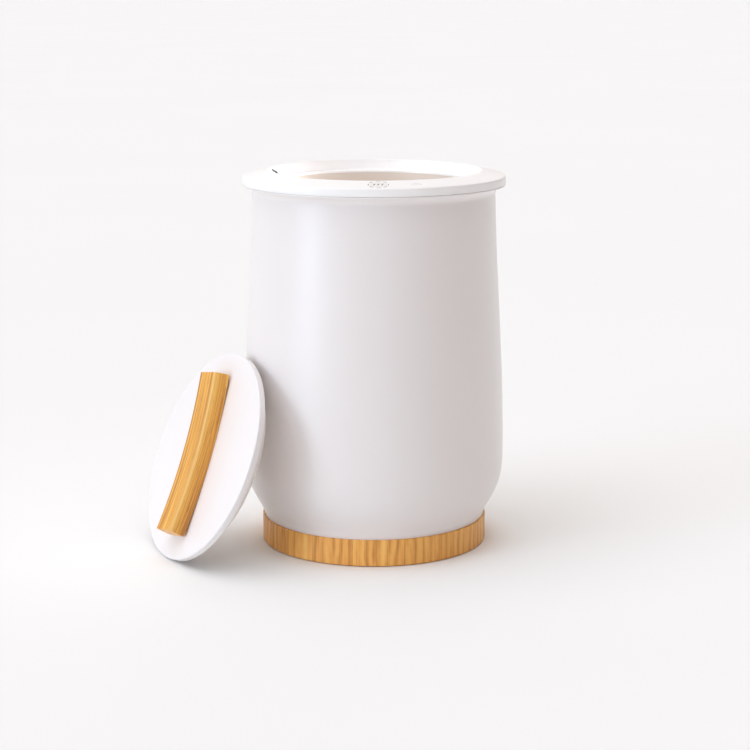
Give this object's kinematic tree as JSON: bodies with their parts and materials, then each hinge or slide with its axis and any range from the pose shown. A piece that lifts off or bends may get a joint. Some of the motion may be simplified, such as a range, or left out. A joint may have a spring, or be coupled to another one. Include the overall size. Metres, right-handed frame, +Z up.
{
  "type": "towel warmer bucket",
  "caption": "Round heated bucket with a plastic shell, bamboo foot ring, aluminium drum, a power key on its sloping rim and a loose lid with a bamboo bar handle.",
  "frame": {"origin": "on the bucket's axis, in the plane that it stands on", "axes": "+Z is up along the axis of the bucket, -Y is the front with the key, and the lid leans at the left, at -X"},
  "size_m": [0.4985, 0.4007, 0.518],
  "materials": {
    "shell_white": "satin gloss",
    "inner_white": "fine matte",
    "bamboo": "oiled bamboo with lengthwise grain",
    "grey_plastic": "moulded",
    "soft_black": "matte",
    "soft_grey": "matte",
    "drum_metal": "brushed, spun",
    "steel": "zinc plated",
    "copper": "polyimide film and lacquered wire",
    "wool": "felted",
    "lens": "translucent",
    "icon_print": "tinted light guide",
    "circuit_board": "solder mask",
    "black_plastic": "moulded"
  },
  "bodies": {
    "bucket": {"outer_shell": "shell_white", "bamboo_base_ring": "bamboo", "base_plate": "grey_plastic", "anti_slip_mat": "soft_black", "base_screws": "steel", "top_ring": "shell_white", "ring_screws": "steel", "inner_drum": "drum_metal", "drum_clamp_ring": "grey_plastic", "clamp_screws": "steel", "drum_heater_band": "copper", "floor_heater": "copper", "insulation_sleeve": "wool", "insulation_disc": "wool", "drum_cradle": "grey_plastic", "cradle_screws": "steel", "thermostat": "black_plastic", "thermostat_strap": "steel", "thermal_fuse": "black_plastic", "temperature_sensor": "black_plastic", "tact_switch": "steel", "icon_ring": "icon_print", "control_board": "circuit_board", "control_board_screws": "steel", "status_lens": "lens", "status_led_board": "circuit_board", "status_board_screw": "steel", "power_board": "circuit_board", "power_board_screws": "steel", "mains_terminals": "black_plastic", "relay": "black_plastic", "transformer": "copper", "capacitor": "black_plastic", "heater_leads": "black_plastic", "control_cable": "black_plastic", "cord_gland": "black_plastic", "gland_nut": "black_plastic"},
    "key": {"power_button": "shell_white", "switch_plunger": "black_plastic"},
    "lid": {"lid_top": "shell_white", "lid_underside": "inner_white", "lid_insulation": "wool", "lid_seal": "soft_grey", "lid_handle": "bamboo", "handle_screws": "steel", "lid_screws": "steel"}
  },
  "joints": [
    {"name": "power_button_press", "type": "slide", "parent": "bucket", "child": "key", "axis": [-0.0077, 0.2214, -0.9751], "range_m": [0, 0.0008], "stiffness_N_per_m": 1500, "springref_m": -0.0006},
    {"name": "lid_lift", "type": "slide", "parent": "bucket", "child": "lid", "axis": [-0.8161, -0.4212, 0.3955], "range_m": [0, 0.25]}
  ]
}
